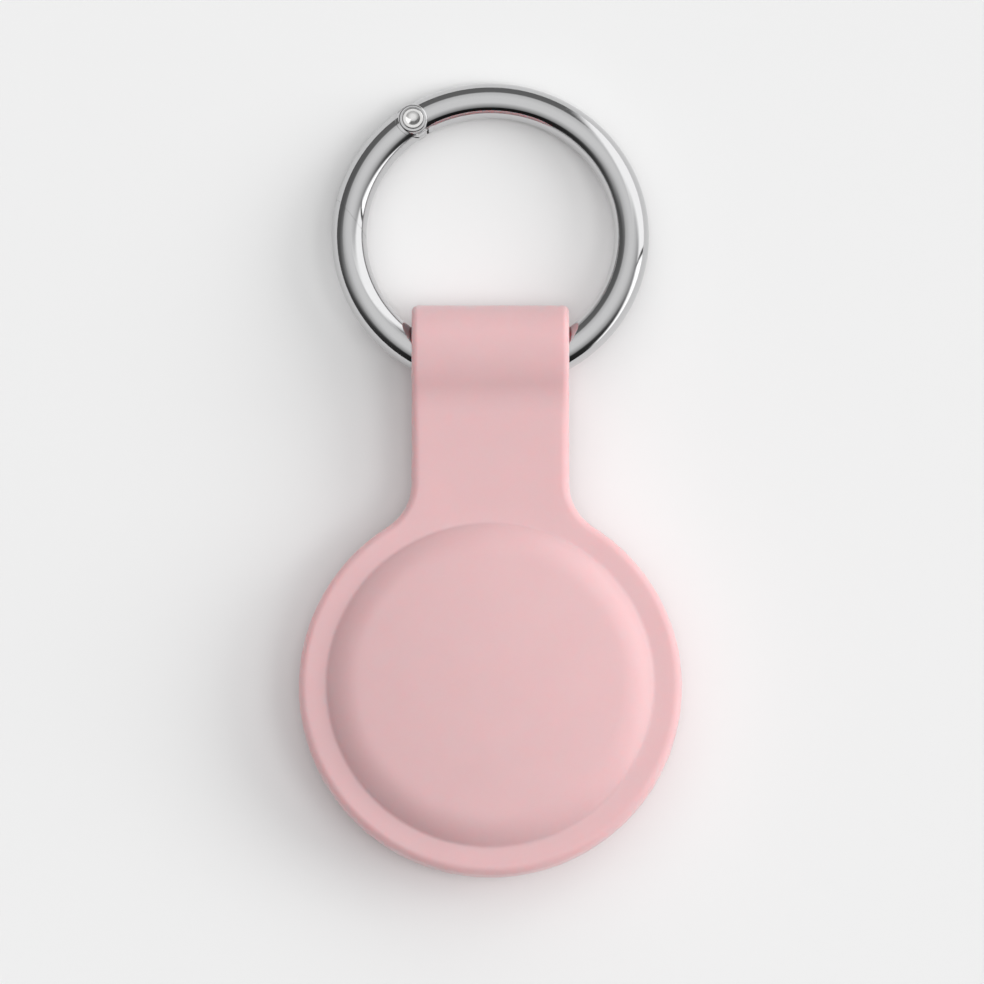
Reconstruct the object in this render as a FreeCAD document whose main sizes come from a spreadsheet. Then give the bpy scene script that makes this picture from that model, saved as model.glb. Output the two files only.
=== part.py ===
import FreeCAD, Part
import math
import os
import re

import Sketcher

# Tracker tag holder: a soft silicone sleeve round a coin-sized tracker tag, with a strap that ends
# in a loop, and a sprung-gate ring through the loop. It lies on its back, dome up, ring towards +Y.
# Millimetres. The origin is on the resting plane, under the middle of the whole object.

doc = FreeCAD.newDocument("TrackerTagHolder")
Vector = FreeCAD.Vector
UP = Vector(0, 0, 1)

LUG_COUNT = 3
CONTACT_COUNT = 2
CHIP_ANGLES = (70, 120, 180, 240, 290)

SLEEVE_SIZES = [
    ("rim_width", 2.95),            # flange round the dome
    ("dome_wall", 1.3),             # silicone round the tag's side, up to the dome's crease
    ("shoulder_width", 3.4),        # rounded border of the dome
    ("crown_drop", 0.95),           # fall of the dome from its middle to that border
    ("crease_round", 0.5),          # soft inside corner at the dome's foot
    ("front_wall", 1.2),            # silicone over the tag
    ("lip_thickness", 1.3),         # turned-in lip that holds the tag from behind
    ("opening_margin", 0.5),        # hole in the back, past the edge of the tag's cover
    ("back_wall", 1.2),             # silicone round the tag's side, at the back
    ("back_round", 1.6),
    ("plate_middle", 6.0),          # height of the middle of rim and strap
    ("strap_thickness", 3.2),
    ("strap_width", 16.7),
    ("neck_round", 5.6),            # inside curve from strap to rim
    ("edge_round", 1.2),            # rounded edge of rim, strap and loop
    ("loop_reach", 41.1),           # disc axis to the end of the loop
    ("loop_lift", 0.4),             # loop above the surface
    ("loop_wall", 1.06),            # silicone round the ring's wire
    ("loop_crown", 9.5),            # long curve of the loop towards the strap
    ("loop_blend", 6.8),            # inside curve from there to the strap
    ("loop_nose_wall", 2.2),        # silicone between the ring and the end of the loop
    ("tunnel_play", 0.1),           # room for the ring's wire to swing in the loop
    ("tag_play", 0.05),             # room round the tag in its pocket
]

RING_SIZES = [
    ("ring_inside", 26.25),
    ("wire_diameter", 3.72),
    ("pivot_angle", 123.3),         # hinge, counted round the ring from +X
    ("gate_span", 49.0),            # hinge to nose
    ("seam_slant", 45.0),           # slant of the nose, so that the ring stops the gate
    ("seam_gap", 0.08),
    ("hinge_gap", 0.08),            # round the knuckle
    ("boss_diameter", 3.16),
    ("boss_rise", 0.1),             # boss above the wire
    ("boss_edge", 0.28),
    ("rivet_diameter", 1.2),
    ("rivet_fit", 0.02),
    ("head_diameter", 2.28),
    ("head_height", 0.4),
    ("head_edge", 0.15),
    ("head_room", 0.1),             # groove round the rivet's head
    ("dimple_diameter", 1.54),
    ("dimple_depth", 0.25),
    ("slot_height", 1.9),           # fork's slot
    ("slot_room", 0.1),             # past the tongue
    ("tongue_diameter", 4.0),
    ("tongue_offset", 0.25),        # the tongue stands inwards, where it carries the spring's post
    ("tongue_thickness", 1.0),
    ("tongue_play", 0.1),
    ("pivot_play", 0.05),
    ("spring_wire", 0.4),
    ("spring_play", 0.05),
    ("spring_anchor", 0.8),         # length of the leg held in the ring
    ("post_diameter", 0.6),
]

TAG_SIZES = [
    ("tag_shoulder", 3.0),          # rounded border of the front
    ("tag_crown_drop", 0.8),
    ("shell_wall", 0.9),
    ("shell_fit", 0.05),
    ("rim_height", 0.9),            # part of the side that belongs to the rear frame
    ("rim_round", 0.6),
    ("spigot_height", 0.9),
    ("spigot_width", 1.5),
    ("cover_margin", 2.0),          # cover past the edge of the cell
    ("cover_play", 0.15),
    ("cover_sheet", 0.45),
    ("cover_depth", 1.6),
    ("cover_round", 0.8),
    ("lug_reach", 0.7),
    ("lug_height", 0.4),
    ("lug_width", 3.0),
    ("lug_play", 0.1),
    ("notch_play", 0.3),            # each side of a lug, where it goes in
    ("lug_turn", 20.0),             # twist that locks the cover
    ("groove_wall", 0.7),
    ("seal_thickness", 0.5),
    ("seal_width", 0.6),
    ("cell_diameter", 20.0),
    ("cell_thickness", 3.2),
    ("cell_gap", 0.1),
    ("cell_play", 0.2),
    ("cell_sheet", 0.25),
    ("cell_round", 0.4),
    ("cell_crimp", 0.6),            # width of the rolled edge
    ("cell_crimp_drop", 0.15),      # rolled edge below the cap's face
    ("gasket_width", 0.6),
    ("tub_wall", 1.0),
    ("floor_thickness", 0.6),
    ("contact_room", 0.45),
    ("contact_sheet", 0.2),
    ("contact_width", 2.4),
    ("contact_play", 0.1),
    ("contact_span", 10.0),         # length of the leaf under the cell
    ("contact_flat", 2.0),          # part of it that meets the cell
    ("contact_foot", 1.6),
    ("board_thickness", 0.6),
    ("board_play", 0.1),            # antenna to front shell
    ("hole_play", 0.6),             # hole in the board, round the coil
    ("front_room", 1.7),            # board to the middle of the front shell
    ("antenna_width", 1.1),
    ("antenna_height", 0.2),
    ("antenna_gap", 15.0),          # degrees left open
    ("shield_length", 5.6),
    ("shield_width", 6.0),
    ("shield_round", 0.4),
    ("shield_room", 0.1),           # under the front shell
    ("chip_length", 2.4),
    ("chip_width", 1.6),
    ("chip_height", 0.7),
    ("magnet_diameter", 7.8),
    ("magnet_height", 1.5),
    ("magnet_round", 0.2),
    ("coil_play", 0.25),            # round the magnet
    ("coil_width", 0.75),
    ("coil_height", 1.4),
]

LAYOUT = [
    # inside the tag, counted from its axis and its back
    ("cell_radius", "cell_diameter / 2"),
    ("cover_radius", "cell_radius + cover_margin"),
    ("bore_radius", "cover_radius + cover_play"),
    ("groove_radius", "cover_radius + lug_reach + lug_play"),
    ("groove_level", "cover_depth - lug_height - lug_play"),
    ("shelf", "cover_depth + seal_thickness"),
    ("cell_bottom", "cover_sheet + cell_gap"),
    ("cell_top", "cell_bottom + cell_thickness"),
    ("crimp_top", "cell_top - cell_crimp_drop"),
    ("tub_radius", "cell_radius + cell_play"),
    ("floor_bottom", "cell_top + contact_room"),
    ("floor_top", "floor_bottom + floor_thickness"),
    ("board_top", "floor_top + board_thickness"),
    ("spigot_radius", "groove_radius + groove_wall + spigot_width"),
    # the tag's outside
    ("tag_radius", "spigot_radius + shell_fit + shell_wall"),
    ("tag_thickness", "board_top + front_room + shell_wall"),
    ("tag_crown_edge", "tag_radius - tag_shoulder"),
    ("tag_crown", "(tag_crown_edge^2 + tag_crown_drop^2) / (2 * tag_crown_drop)"),
    ("tag_lean", "tag_crown_edge / tag_crown"),
    ("tag_level", "1 - tag_crown_drop / tag_crown"),
    ("tag_round", "tag_shoulder / (1 - tag_lean)"),
    ("tag_side", "tag_thickness - tag_crown_drop - tag_round * tag_level"),
    # what stands on the board, under the front shell
    ("antenna_top", "board_top + antenna_height"),
    ("board_rise", "antenna_top + board_play - tag_side"),
    ("board_radius", "tag_radius - tag_round + sqrt((tag_round - shell_wall)^2 - board_rise^2)"),
    ("coil_radius", "magnet_diameter / 2 + coil_play + coil_width"),
    ("coil_top", "tag_thickness - tag_crown + sqrt((tag_crown - shell_wall)^2 - coil_radius^2)"),
    ("hole_radius", "coil_radius + hole_play"),
    ("chip_place", "(hole_radius + board_radius - antenna_width) / 2"),
    ("shield_height", "front_room - tag_crown_drop - shield_room"),
    # the pocket and the dome over it
    ("tag_bottom", "lip_thickness + tag_play"),
    ("pocket_radius", "tag_radius + tag_play"),
    ("dome_radius", "pocket_radius + dome_wall"),
    ("back_radius", "pocket_radius + back_wall"),
    ("opening_radius", "cover_radius + opening_margin"),
    ("face_front", "plate_middle + strap_thickness / 2"),
    ("face_back", "plate_middle - strap_thickness / 2"),
    ("dome_top", "tag_bottom + tag_thickness + tag_play + front_wall"),
    ("crown_edge", "dome_radius - shoulder_width"),
    ("crown", "(crown_edge^2 + crown_drop^2) / (2 * crown_drop)"),
    ("shoulder_fall", "dome_top - crown_drop - face_front"),
    ("shoulder_sag", "(shoulder_fall * (crown - crown_drop) - shoulder_width * crown_edge) / crown"),
    ("shoulder_round", "(shoulder_width^2 + shoulder_fall^2) / (2 * shoulder_sag)"),
    ("back_lean", "(dome_radius - back_radius) / (face_front - back_round)"),
    ("back_crease", "back_radius + back_lean * (face_back - back_round)"),
    # rim and strap
    ("disc_radius", "dome_radius + rim_width"),
    ("half_strap", "strap_width / 2"),
    ("neck_share", "disc_radius / (disc_radius + neck_round)"),
    ("neck_top", "sqrt((disc_radius + neck_round)^2 - (half_strap + neck_round)^2)"),
    # the ring, which swings about the tunnel's axis and rests with its far end on the surface:
    # the tunnel is as wide as the bowed wire between its mouths
    ("wire_radius", "wire_diameter / 2"),
    ("ring_radius", "(ring_inside + wire_diameter) / 2"),
    ("ring_outside", "ring_radius + wire_radius"),
    ("ring_mouth", "sqrt((ring_radius - wire_radius)^2 - half_strap^2)"),
    ("wire_bow", "ring_outside - ring_mouth"),
    ("tunnel_radius", "wire_bow / 2 + tunnel_play"),
    ("loop_round", "tunnel_radius + loop_wall"),
    ("loop_height", "loop_lift + loop_round"),
    ("loop_top", "loop_height + loop_round"),
    ("tunnel_place", "loop_reach - loop_nose_wall - tunnel_radius"),
    ("swing_arm", "ring_outside - wire_bow / 2"),
    ("ring_tilt", "asin((loop_height - wire_radius) / (swing_arm + ring_radius))"),
    ("ring_place", "tunnel_place + swing_arm * cos(ring_tilt)"),
    ("ring_height", "loop_height - swing_arm * sin(ring_tilt)"),
    ("far_end", "ring_place + ring_radius * cos(ring_tilt) + wire_radius"),
    ("middle", "(far_end - disc_radius) / 2"),
    # the loop: its two curves towards the strap end before the neck begins, and where the room is
    # short the inside curve gives way first
    ("loop_middle", "loop_reach - loop_round"),
    ("loop_room", "loop_middle - neck_top - edge_round"),
    ("front_rise", "loop_top - face_front"),
    ("front_limit", "(loop_room^2 + front_rise^2) / (2 * front_rise)"),
    ("front_crown", "min(loop_crown; front_limit - edge_round)"),
    ("front_blend", "min(loop_blend; max(edge_round; front_limit - loop_crown))"),
    ("front_run", "sqrt(2 * (front_crown + front_blend) * front_rise - front_rise^2)"),
    ("front_share", "front_crown / (front_crown + front_blend)"),
    ("back_rise", "face_back - loop_lift"),
    ("back_limit", "(loop_room^2 + back_rise^2) / (2 * back_rise)"),
    ("back_crown", "min(loop_crown; back_limit - edge_round)"),
    ("back_blend", "min(loop_blend; max(edge_round; back_limit - loop_crown))"),
    ("back_run", "sqrt(2 * (back_crown + back_blend) * back_rise - back_rise^2)"),
    ("back_share", "back_crown / (back_crown + back_blend)"),
    # the hinge
    ("nose_angle", "pivot_angle + gate_span"),
    ("ring_degrees", "180 / pi / (ring_radius - wire_diameter)"),
    ("seam_overlap", "(wire_radius * tan(seam_slant) + seam_gap) * ring_degrees"),
    ("knuckle_span", "wire_radius * ring_degrees"),
    ("boss_top", "wire_radius + boss_rise"),
    ("slot_radius", "tongue_diameter / 2 + tongue_offset + slot_room"),
    ("tongue_bottom", "tongue_play - slot_height / 2"),
    ("tongue_top", "tongue_bottom + tongue_thickness"),
    ("spring_turn", "rivet_diameter / 2 + spring_play + spring_wire / 2"),
    ("spring_level", "(tongue_top + slot_height / 2) / 2"),
    ("leg_reach", "sqrt(slot_radius^2 - spring_turn^2)"),
    ("post_radius", "post_diameter / 2"),
    ("post_side", "spring_turn + spring_wire / 2 + spring_play + post_radius"),
    ("post_along", "sqrt((tongue_diameter / 2 - post_radius)^2 - (post_side - tongue_offset)^2)"),
]

owner = {}


def qualified(text):
    """Write each size in an expression with the sheet that holds it."""
    return re.sub(r"[a-z_]+", lambda word: owner.get(word.group(), "") + word.group(), text)


def fill_sheet(name, rows):
    sheet = doc.addObject("Spreadsheet::Sheet", name)
    for row, (alias, content) in enumerate(rows, 1):
        if isinstance(content, str):
            content = "=" + qualified(content)
        sheet.set("A%d" % row, alias)
        sheet.set("B%d" % row, str(content))
        sheet.setAlias("B%d" % row, alias)
        owner[alias] = name + "."
    doc.recompute()
    return sheet


sizes = fill_sheet("Sizes", SLEEVE_SIZES + RING_SIZES + TAG_SIZES)
fill_sheet("Layout", LAYOUT)


def value(text):
    result = sizes.evalExpression(qualified(text))
    return float(getattr(result, "Value", result))


def bind(item, **expressions):
    for name, text in expressions.items():
        item.setExpression(name, qualified(text))


# Helpers for sketches and features

def new_body(label, placement):
    body = doc.addObject("PartDesign::Body", label)
    body.Label = label
    body.Placement = placement
    return body


def new_sketch(body, plane, level="0"):
    sketch = body.newObject("Sketcher::SketchObject", body.Name + "_sketch")
    origin = [item for item in body.Origin.OriginFeatures if item.Role == plane][0]
    sketch.AttachmentSupport = [(origin, "")]
    sketch.MapMode = "FlatFace"
    sketch.setExpression("AttachmentOffset.Base.z", qualified(level))
    return sketch


def pin_point(sketch, index, end, place):
    """Hold a point of a sketch at the place that two expressions give."""
    for kind, axis, text in (("DistanceX", -2, place[0]), ("DistanceY", -1, place[1])):
        if abs(value(text)) < 1e-9:
            sketch.addConstraint(Sketcher.Constraint("PointOnObject", index, end, axis))
        else:
            datum = sketch.addConstraint(Sketcher.Constraint(kind, index, end, value(text)))
            sketch.setExpression("Constraints[%d]" % datum, qualified(text))


def draw_outline(sketch, points):
    """A closed outline. A point (x, y) is reached by a line, and (x, y, radius) by an arc, which
    turns left where the radius is positive and right where it is negative."""
    places = [Vector(value(point[0]), value(point[1]), 0) for point in points]
    first = sketch.GeometryCount
    heads = []
    tails = []
    for number, point in enumerate(points):
        start, stop = places[number - 1], places[number]
        head, tail = 1, 2
        if len(point) == 2:
            sketch.addGeometry(Part.LineSegment(start, stop))
        else:
            radius = value(point[2])
            chord = stop - start
            side = Vector(-chord.y, chord.x, 0).normalize() * math.copysign(1, radius)
            middle = (start + stop) / 2 + side * math.sqrt(radius**2 - chord.Length**2 / 4)
            if radius < 0:
                start, stop, head, tail = stop, start, 2, 1
            angles = [math.atan2(end.y - middle.y, end.x - middle.x) for end in (start, stop)]
            arc = Part.ArcOfCircle(Part.Circle(middle, UP, abs(radius)), *angles)
            index = sketch.addGeometry(arc)
            datum = sketch.addConstraint(Sketcher.Constraint("Radius", index, abs(radius)))
            sketch.setExpression("Constraints[%d]" % datum, "abs(%s)" % qualified(point[2]))
        heads.append(head)
        tails.append(tail)
    for number, point in enumerate(points):
        after = (number + 1) % len(points)
        link = Sketcher.Constraint("Coincident", first + number, tails[number], first + after, heads[after])
        sketch.addConstraint(link)
        pin_point(sketch, first + number, tails[number], point)


def draw_circle(sketch, x, y, radius):
    circle = Part.Circle(Vector(value(x), value(y), 0), UP, value(radius))
    index = sketch.addGeometry(circle)
    datum = sketch.addConstraint(Sketcher.Constraint("Radius", index, value(radius)))
    sketch.setExpression("Constraints[%d]" % datum, qualified(radius))
    pin_point(sketch, index, 3, (x, y))


def box_points(left, bottom, right, top):
    return [(left, bottom), (right, bottom), (right, top), (left, top)]


def revolve(body, points, kind="Revolution", angle="360"):
    """Turn an outline, drawn as (radius, height), about the body's Z axis."""
    sketch = new_sketch(body, "XZ_Plane")
    draw_outline(sketch, points)
    feature = body.newObject("PartDesign::" + kind, body.Name + "_" + kind)
    feature.Profile = (sketch, [""])
    feature.ReferenceAxis = (sketch, ["V_Axis"])
    bind(feature, Angle=angle)
    doc.recompute()
    return feature


def extrude(body, sketch, length, kind="Pad", symmetric=False, reverse=False):
    feature = body.newObject("PartDesign::" + kind, body.Name + "_" + kind)
    feature.Profile = (sketch, [""])
    feature.SideType = "Symmetric" if symmetric else "One side"
    feature.Reversed = reverse
    bind(feature, Length=length)
    doc.recompute()
    return feature


def round_edges(body, radius, chosen):
    """Round the edges of the body's last feature that a test picks out."""
    base = body.Tip
    names = ["Edge%d" % number for number, edge in enumerate(base.Shape.Edges, 1) if chosen(edge)]
    feature = body.newObject("PartDesign::Fillet", body.Name + "_Fillet")
    feature.Base = (base, names)
    bind(feature, Radius=radius)
    doc.recompute()


def polar_copies(body, feature, count):
    pattern = body.newObject("PartDesign::PolarPattern", body.Name + "_copies")
    pattern.Originals = [feature]
    axis = [item for item in body.Origin.OriginFeatures if item.Role == "Z_Axis"][0]
    pattern.Axis = (axis, [""])
    pattern.Angle = 360
    pattern.Occurrences = count
    body.Tip = pattern
    doc.recompute()
    return pattern


def solid(kind, placement=FreeCAD.Placement(), **expressions):
    item = doc.addObject("Part::" + kind, kind)
    bind(item, **expressions)
    item.Placement = placement
    return item


def joined(*items):
    fuse = doc.addObject("Part::MultiFuse", "Fuse")
    fuse.Shapes = list(items)
    return fuse


def cut_away(base, *tools):
    cut = doc.addObject("Part::Cut", "Cut")
    cut.Base = base
    cut.Tool = joined(*tools) if len(tools) > 1 else tools[0]
    return cut


def at(x=0.0, y=0.0, z=0.0, turn=0.0):
    return FreeCAD.Placement(Vector(x, y, z), FreeCAD.Rotation(UP, turn))


def name_part(item, label, placement):
    item.Label = label
    item.Placement = placement
    return item


# Where the sub-parts stand

sleeve_place = at(y=-value("middle"))
tag_place = at(y=-value("middle"), z=value("tag_bottom"))
ring_lean = FreeCAD.Rotation(Vector(1, 0, 0), -value("ring_tilt"))
ring_place = FreeCAD.Placement(Vector(0, value("ring_place - middle"), value("ring_height")), ring_lean)


# Silicone sleeve

def on_contour(edge):
    """True for the edges that run round the rim, strap and loop, front and back."""
    straight = isinstance(edge.Curve, Part.Line)
    return not straight or abs(edge.Curve.Direction.y) > 0.5


def at_pocket_foot(edge):
    """True for the creases where the pocket leaves the rim, front and back."""
    if edge.Degenerated or edge.BoundBox.ZLength > 1e-6:
        return False
    start = edge.valueAt(edge.FirstParameter)
    creases = (("dome_radius", "face_front"), ("back_crease", "face_back"))
    return any(abs(math.hypot(start.x, start.y) - value(radius)) < 1e-6
               and abs(start.z - value(level)) < 1e-6 for radius, level in creases)


def tag_front(inset):
    """Side, shoulder and crown of the tag's front, moved inwards by an inset."""
    return [
        ("tag_radius - %s" % inset, "tag_side"),
        ("tag_crown_edge - %s * tag_lean" % inset,
         "tag_thickness - tag_crown_drop - %s * tag_level" % inset, "tag_round - %s" % inset),
        ("0", "tag_thickness - %s" % inset, "tag_crown - %s" % inset),
    ]


def make_sleeve():
    body = new_body("silicone_sleeve", sleeve_place)
    plan = new_sketch(body, "XY_Plane", "plate_middle")
    side, foot = "(half_strap + neck_round) * neck_share", "neck_top * neck_share"
    draw_outline(plan, [
        ("half_strap", "loop_middle"),
        ("-half_strap", "loop_middle"),
        ("-half_strap", "neck_top"),
        ("-" + side, foot, "-neck_round"),
        ("0", "-disc_radius", "disc_radius"),
        (side, foot, "disc_radius"),
        ("half_strap", "neck_top", "-neck_round"),
    ])
    extrude(body, plan, "strap_thickness", symmetric=True)

    profile = new_sketch(body, "YZ_Plane")
    draw_outline(profile, [
        ("loop_middle - back_run", "face_back"),
        ("loop_middle - back_run * back_share", "loop_lift + back_rise * back_share", "-back_blend"),
        ("loop_middle", "loop_lift", "back_crown"),
        ("loop_reach", "loop_height", "loop_round"),
        ("loop_middle", "loop_top", "loop_round"),
        ("loop_middle - front_run * front_share", "loop_top - front_rise * front_share", "front_crown"),
        ("loop_middle - front_run", "face_front", "-front_blend"),
    ])
    extrude(body, profile, "strap_width", symmetric=True)
    round_edges(body, "edge_round", on_contour)

    revolve(body, [
        ("0", "0"),
        ("back_radius - back_round", "0"),
        ("back_radius", "back_round", "back_round"),
        ("dome_radius", "face_front"),
        ("crown_edge", "dome_top - crown_drop", "shoulder_round"),
        ("0", "dome_top", "crown"),
    ])
    round_edges(body, "crease_round", at_pocket_foot)

    bottom = "tag_bottom + "
    pocket = [(x, bottom + y, *rest) for x, y, *rest in tag_front("(-tag_play)")]
    revolve(body, [
        ("0", "0"),
        ("opening_radius", "0"),
        ("opening_radius", "lip_thickness"),
        ("pocket_radius", "lip_thickness"),
    ] + pocket, "Groove")

    tunnel = new_sketch(body, "YZ_Plane")
    draw_circle(tunnel, "tunnel_place", "loop_height", "tunnel_radius")
    extrude(body, tunnel, "strap_width * 2", "Pocket", symmetric=True)
    return body


# Ring, gate, rivet and spring

def along_ring(angle, radius):
    return Vector(radius * math.cos(math.radians(angle)), radius * math.sin(math.radians(angle)), 0)


pivot_angle = value("pivot_angle")
pivot = along_ring(pivot_angle, value("ring_radius"))
# the hinge's own frame: X along the wire into the ring, Y outwards, Z along the rivet
hinge_place = FreeCAD.Placement(pivot, FreeCAD.Rotation(UP, pivot_angle - 90))


def in_hinge(x=0.0, y=0.0, z=0.0):
    return hinge_place.multiply(at(x, y, z))


def wire_arc(start, span):
    """A stretch of the ring's round wire, from an angle on, counterclockwise."""
    return solid("Torus", at(turn=value(start)), Radius1="ring_radius", Radius2="wire_radius", Angle3=span)


def pin(radius, bottom, height, x=0.0, y=0.0):
    """A cylinder along the rivet."""
    return solid("Cylinder", in_hinge(x, y, value(bottom)), Radius=radius, Height=height)


def seam_cutter(keep_ring):
    """The block past the slanted seam at the gate's nose, seen from the ring or from the gate."""
    nose = along_ring(value("nose_angle"), value("ring_radius"))
    across = value("nose_angle + 90 - seam_slant")
    block = value("wire_diameter * 2")
    start = value("seam_gap") / 2 - block if keep_ring else -value("seam_gap") / 2
    corner = at(nose.x, nose.y, 0, across).multiply(at(start, -block / 2, -block / 2))
    size = "wire_diameter * 2"
    return solid("Box", corner, Length=size, Width=size, Height=size)


def make_ring():
    wire = wire_arc("nose_angle - seam_overlap", "360 - gate_span + seam_overlap")
    end = doc.addObject("Part::Common", "Knuckle")
    end.Base = wire_arc("pivot_angle", "knuckle_span")
    end.Tool = pin("wire_radius", "-wire_diameter", "wire_diameter * 2")
    boss = new_body("Boss", hinge_place)
    revolve(boss, [
        ("0", "-boss_top"),
        ("boss_diameter / 2 - boss_edge", "-boss_top"),
        ("boss_diameter / 2", "boss_edge - boss_top", "boss_edge"),
        ("boss_diameter / 2", "boss_top - boss_edge"),
        ("boss_diameter / 2 - boss_edge", "boss_top", "boss_edge"),
        ("0", "boss_top"),
    ])
    recess = "head_diameter / 2 + head_room"
    leg = in_hinge(0, value("spring_turn"), value("spring_level"))
    along = FreeCAD.Placement(Vector(), FreeCAD.Rotation(Vector(0, 1, 0), 90))
    leg_hole = solid("Cylinder", leg.multiply(along), Radius="spring_wire / 2 + spring_play",
                     Height="leg_reach + spring_anchor + spring_play")
    ring = cut_away(
        joined(wire, end, boss),
        pin("slot_radius", "-slot_height / 2", "slot_height"),
        pin("rivet_diameter / 2 + rivet_fit", "-wire_diameter", "wire_diameter * 2"),
        pin(recess, "boss_top - head_height", "head_height * 2"),
        pin(recess, "-boss_top - head_height", "head_height * 2"),
        leg_hole,
        seam_cutter(keep_ring=True),
    )
    return name_part(ring, "ring_body", ring_place)


def make_gate():
    knuckle = "wire_radius + hinge_gap"
    arm = cut_away(
        wire_arc("pivot_angle", "gate_span + seam_overlap"),
        pin(knuckle, "tongue_top", "wire_diameter"),
        pin(knuckle, "tongue_bottom - wire_diameter", "wire_diameter"),
        seam_cutter(keep_ring=False),
    )
    tongue = pin("tongue_diameter / 2", "tongue_bottom", "tongue_thickness", y=-value("tongue_offset"))
    post = pin("post_radius", "tongue_bottom", "slot_height - 2 * tongue_play",
               value("post_along"), -value("post_side"))
    hole = pin("rivet_diameter / 2 + pivot_play", "-wire_diameter", "wire_diameter * 2")
    return name_part(cut_away(joined(arm, tongue, post), hole), "gate_arm", ring_place)


def make_rivet():
    body = new_body("hinge_rivet", ring_place.multiply(hinge_place))
    dimple = "((dimple_diameter / 2)^2 + dimple_depth^2) / (2 * dimple_depth)"
    seat = "boss_top - head_height"
    revolve(body, [
        ("0", "dimple_depth - boss_top"),
        ("dimple_diameter / 2", "-boss_top", "-(%s)" % dimple),
        ("head_diameter / 2 - head_edge", "-boss_top"),
        ("head_diameter / 2", "head_edge - boss_top", "head_edge"),
        ("head_diameter / 2", "-(%s)" % seat),
        ("rivet_diameter / 2", "-(%s)" % seat),
        ("rivet_diameter / 2", seat),
        ("head_diameter / 2", seat),
        ("head_diameter / 2", "boss_top - head_edge"),
        ("head_diameter / 2 - head_edge", "boss_top", "head_edge"),
        ("dimple_diameter / 2", "boss_top"),
        ("0", "boss_top - dimple_depth", "-(%s)" % dimple),
    ])
    return body


def make_spring():
    """A hairpin: half a turn round the rivet, one leg held in the ring and one on the gate's post."""
    bend = solid("Torus", at(turn=90), Radius1="spring_turn", Radius2="spring_wire / 2", Angle3="180")
    along = FreeCAD.Rotation(Vector(0, 1, 0), 90)
    turn = value("spring_turn")
    held = solid("Cylinder", FreeCAD.Placement(Vector(0, turn, 0), along),
                 Radius="spring_wire / 2", Height="leg_reach + spring_anchor")
    free = solid("Cylinder", FreeCAD.Placement(Vector(0, -turn, 0), along),
                 Radius="spring_wire / 2", Height="leg_reach - spring_wire")
    placement = ring_place.multiply(hinge_place).multiply(at(z=value("spring_level")))
    return name_part(joined(bend, held, free), "gate_spring", placement)


# The tag's housing

def make_front_shell():
    body = new_body("tag_front_shell", tag_place)
    inner = tag_front("shell_wall")
    revolve(body, [
        ("tag_radius - shell_wall", "rim_height"),
        ("tag_radius", "rim_height"),
    ] + tag_front("0") + [
        ("0", "tag_thickness - shell_wall"),
        (inner[1][0], inner[1][1], "-(tag_crown - shell_wall)"),
        (inner[0][0], inner[0][1], "-(tag_round - shell_wall)"),
    ])
    return body


def make_rear_frame():
    body = new_body("tag_rear_frame", tag_place)
    revolve(body, [
        ("bore_radius", "0"),
        ("tag_radius - rim_round", "0"),
        ("tag_radius", "rim_round", "rim_round"),
        ("tag_radius", "rim_height"),
        ("spigot_radius", "rim_height"),
        ("spigot_radius", "rim_height + spigot_height"),
        ("groove_radius + groove_wall", "rim_height + spigot_height"),
        ("groove_radius + groove_wall", "shelf + floor_thickness"),
        ("tub_radius + tub_wall", "shelf + floor_thickness"),
        ("tub_radius + tub_wall", "floor_top"),
        ("0", "floor_top"),
        ("0", "floor_bottom"),
        ("tub_radius", "floor_bottom"),
        ("tub_radius", "shelf"),
        ("groove_radius", "shelf"),
        ("groove_radius", "groove_level"),
        ("bore_radius", "groove_level"),
    ])
    entry = new_sketch(body, "XY_Plane")
    draw_outline(entry, box_points("cover_radius - cover_play", "-lug_width / 2 - notch_play",
                                   "groove_radius", "lug_width / 2 + notch_play"))
    polar_copies(body, extrude(body, entry, "groove_level + lug_play", "Pocket", reverse=True), LUG_COUNT)
    slot = new_sketch(body, "XY_Plane", "shelf")
    draw_outline(slot, box_points("-contact_width / 2 - contact_play", "cell_radius",
                                  "contact_width / 2 + contact_play",
                                  "tub_radius + contact_sheet + contact_play"))
    polar_copies(body, extrude(body, slot, "floor_top", "Pocket", reverse=True), CONTACT_COUNT)
    return body


def make_rear_cover():
    body = new_body("tag_rear_cover", tag_place.multiply(at(turn=value("lug_turn"))))
    revolve(body, [
        ("0", "0"),
        ("cover_radius - cover_round", "0"),
        ("cover_radius", "cover_round", "cover_round"),
        ("cover_radius", "cover_depth"),
        ("cover_radius - cover_sheet", "cover_depth"),
        ("cover_radius - cover_sheet", "cover_round"),
        ("cover_radius - cover_round", "cover_sheet", "-(cover_round - cover_sheet)"),
        ("0", "cover_sheet"),
    ])
    lug = new_sketch(body, "XY_Plane", "cover_depth - lug_height")
    draw_outline(lug, box_points("cover_radius - cover_sheet / 2", "-lug_width / 2",
                                 "cover_radius + lug_reach", "lug_width / 2"))
    polar_copies(body, extrude(body, lug, "lug_height"), LUG_COUNT)
    return body


def make_cover_seal():
    body = new_body("cover_seal", tag_place)
    revolve(body, box_points("cover_radius - seal_width", "cover_depth", "cover_radius", "shelf"))
    return body


# The coin cell and its contacts

def make_cell_can():
    body = new_body("cell_can", tag_place)
    revolve(body, [
        ("0", "cell_bottom"),
        ("cell_radius - cell_round", "cell_bottom"),
        ("cell_radius", "cell_bottom + cell_round", "cell_round"),
        ("cell_radius", "crimp_top"),
        ("cell_radius - cell_crimp", "crimp_top"),
        ("cell_radius - cell_crimp", "crimp_top - cell_sheet"),
        ("cell_radius - cell_sheet", "crimp_top - cell_sheet"),
        ("cell_radius - cell_sheet", "cell_bottom + cell_sheet"),
        ("0", "cell_bottom + cell_sheet"),
    ])
    return body


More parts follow.
